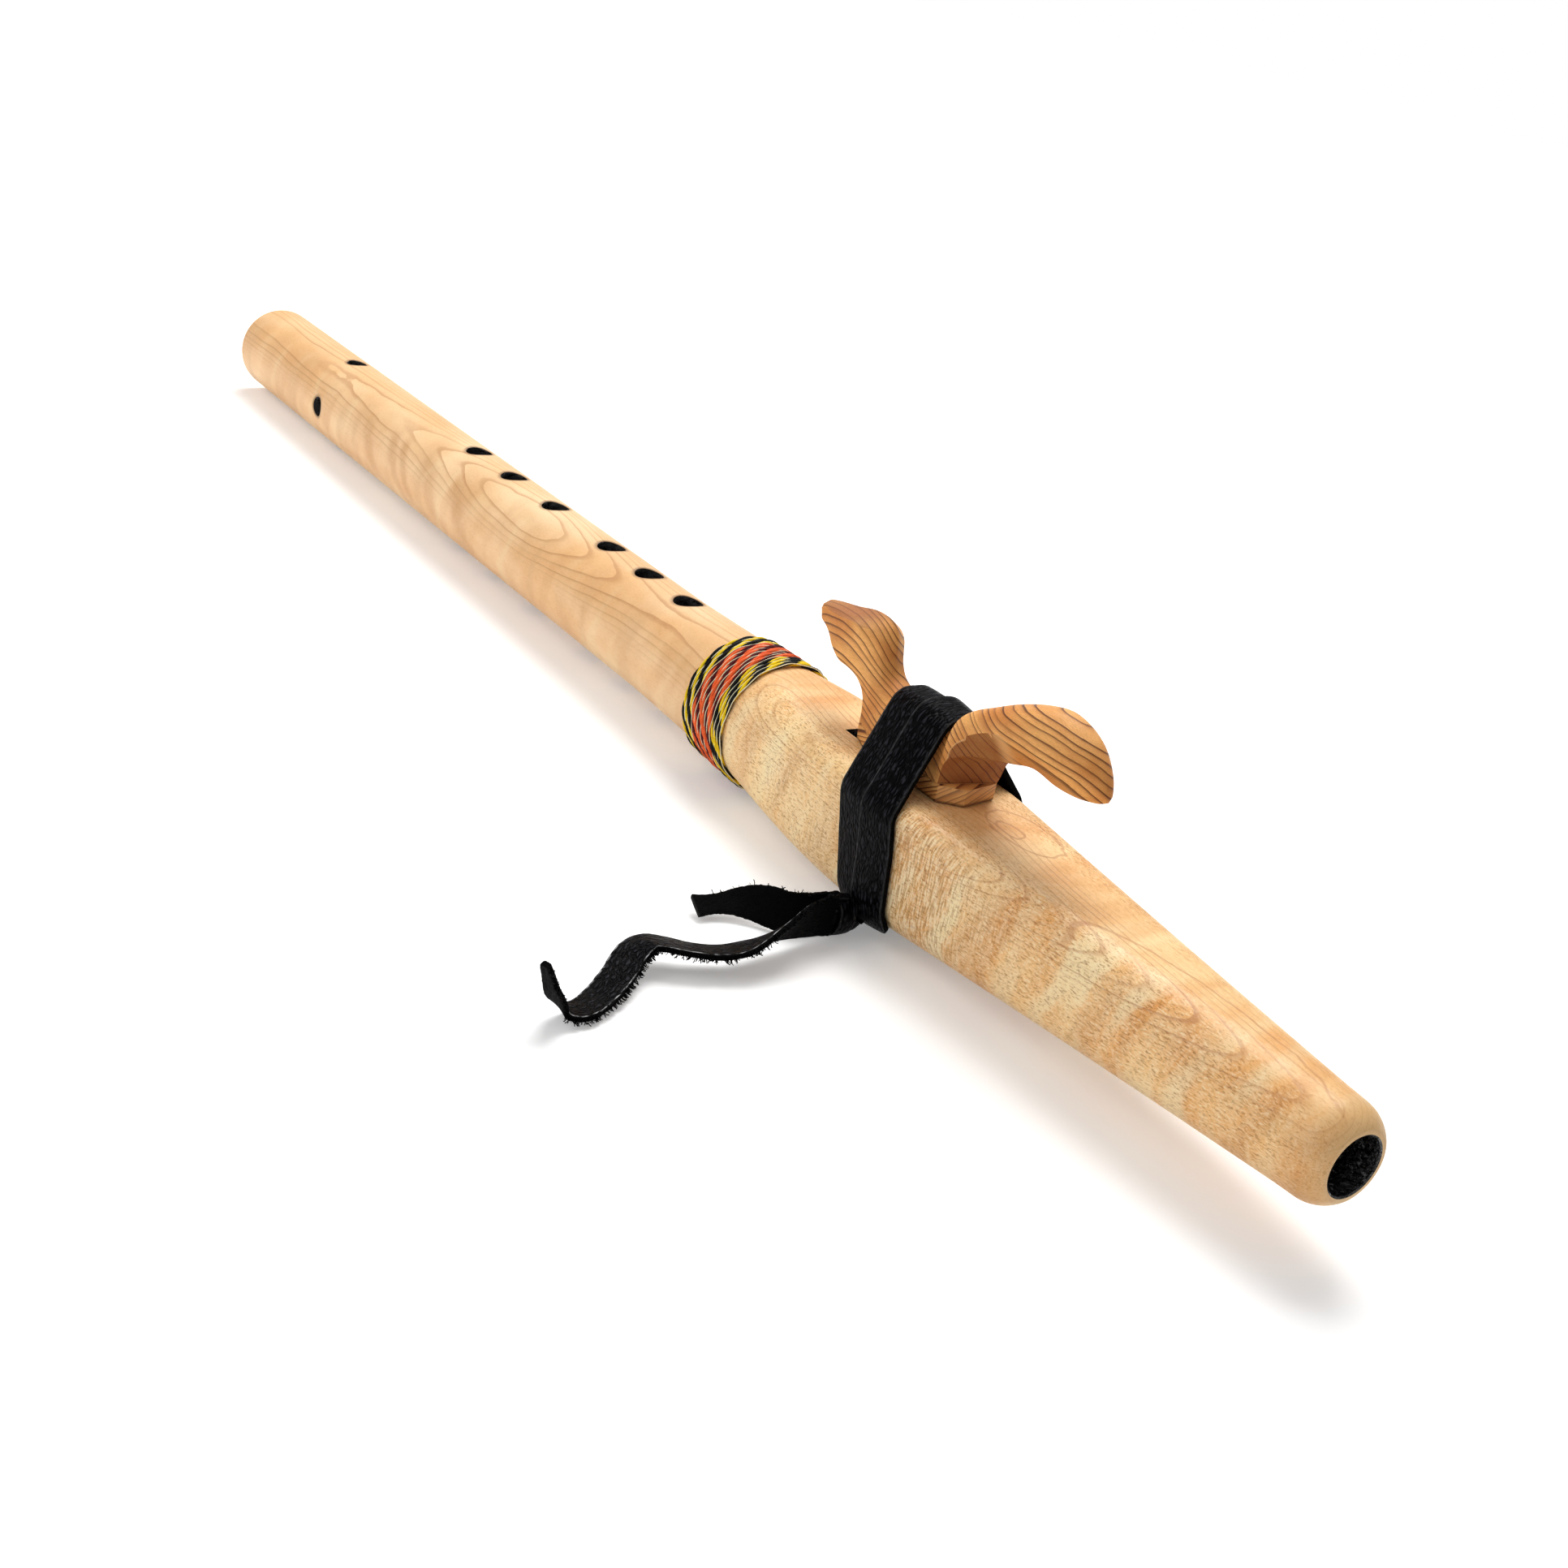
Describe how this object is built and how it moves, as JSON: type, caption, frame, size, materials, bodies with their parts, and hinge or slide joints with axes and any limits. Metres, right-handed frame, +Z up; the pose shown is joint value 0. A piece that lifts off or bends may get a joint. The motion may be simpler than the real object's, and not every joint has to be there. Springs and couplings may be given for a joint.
{
  "type": "native american style flute",
  "caption": "Maple flute with a carved cedar bird block tied on with black leather lace, a bright thread wrap, and the lace's free ends lying beside it.",
  "frame": {"origin": "on the floor under the middle of the flute's length and width, at the lowest face of the lace under the belly", "axes": "+X from the foot end to the mouth end, +Y to the side away from the lace's free ends, +Z up through the finger holes"},
  "size_m": [0.575, 0.1335, 0.0692],
  "materials": {
    "maple_body": "satin oil",
    "cedar_block": "satin oil",
    "black_lace": "pebbled grain",
    "amber_thread": "matt",
    "red_thread": "matt"
  },
  "bodies": {
    "flute_body": {"body_upper_stave": "maple_body", "body_lower_stave": "maple_body", "thread_band_foot": "amber_thread", "thread_band_middle": "red_thread", "thread_band_head": "amber_thread"},
    "bird_and_tie": {"bird_block": "cedar_block", "lace_wrap": "black_lace", "lace_knot": "black_lace", "lace_tail_long": "black_lace", "lace_tail_short": "black_lace"}
  },
  "joints": [
    {"name": "block_slide", "type": "slide", "parent": "flute_body", "child": "bird_and_tie", "axis": [1, 0, 0], "range_m": [-0.002, 0.004]}
  ]
}
